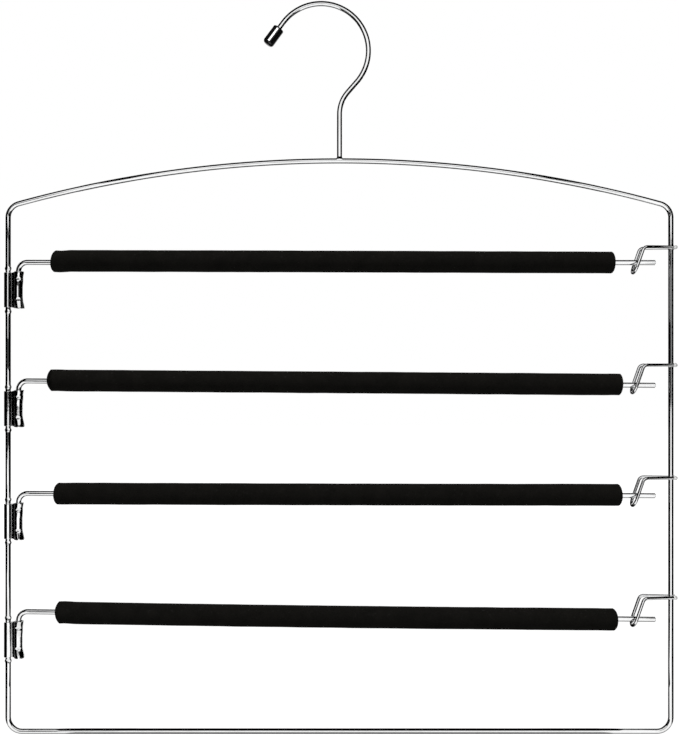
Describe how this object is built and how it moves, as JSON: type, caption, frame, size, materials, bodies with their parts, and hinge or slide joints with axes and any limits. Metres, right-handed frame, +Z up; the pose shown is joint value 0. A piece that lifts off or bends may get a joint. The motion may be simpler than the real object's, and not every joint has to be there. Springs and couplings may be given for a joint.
{
  "type": "trouser hanger",
  "caption": "Chrome wire trouser hanger: a closed frame with a swan-neck hook, and foam-padded arms that hinge on one upright and rest in wire catches on the other.",
  "frame": {"origin": "the rail seat: the inner top of the hook, in the middle of its wire", "axes": "+X along the arms from the hinges to the catches, +Y from front to back, +Z up"},
  "size_m": [0.3816, 0.0124, 0.4158],
  "materials": {
    "chrome_wire": "polished",
    "chrome_strip": "polished",
    "black_foam": "matte",
    "black_vinyl": "gloss"
  },
  "bodies": {
    "frame": {"frame_wire": "chrome_wire", "hook_wire": "chrome_wire", "hook_tip_cap": "black_vinyl", "arm_catch_1": "chrome_wire", "arm_catch_2": "chrome_wire", "arm_catch_3": "chrome_wire", "arm_catch_4": "chrome_wire"},
    "arm_1": {"hinge_bracket_1": "chrome_strip", "swing_arm_1": "chrome_wire", "foam_sleeve_1": "black_foam"},
    "arm_2": {"hinge_bracket_2": "chrome_strip", "swing_arm_2": "chrome_wire", "foam_sleeve_2": "black_foam"},
    "arm_3": {"hinge_bracket_3": "chrome_strip", "swing_arm_3": "chrome_wire", "foam_sleeve_3": "black_foam"},
    "arm_4": {"hinge_bracket_4": "chrome_strip", "swing_arm_4": "chrome_wire", "foam_sleeve_4": "black_foam"}
  },
  "joints": [
    {"name": "arm_1_swing", "type": "hinge", "parent": "frame", "child": "arm_1", "pos_m": [-0.17765, 0, -0.1453], "axis": [0, 0, -1], "range_deg": [-170, 170]},
    {"name": "arm_2_swing", "type": "hinge", "parent": "frame", "child": "arm_2", "pos_m": [-0.17765, 0, -0.2125], "axis": [0, 0, -1], "range_deg": [-170, 170]},
    {"name": "arm_3_swing", "type": "hinge", "parent": "frame", "child": "arm_3", "pos_m": [-0.17765, 0, -0.2764], "axis": [0, 0, -1], "range_deg": [-170, 170]},
    {"name": "arm_4_swing", "type": "hinge", "parent": "frame", "child": "arm_4", "pos_m": [-0.17765, 0, -0.3434], "axis": [0, 0, -1], "range_deg": [-170, 170]}
  ]
}
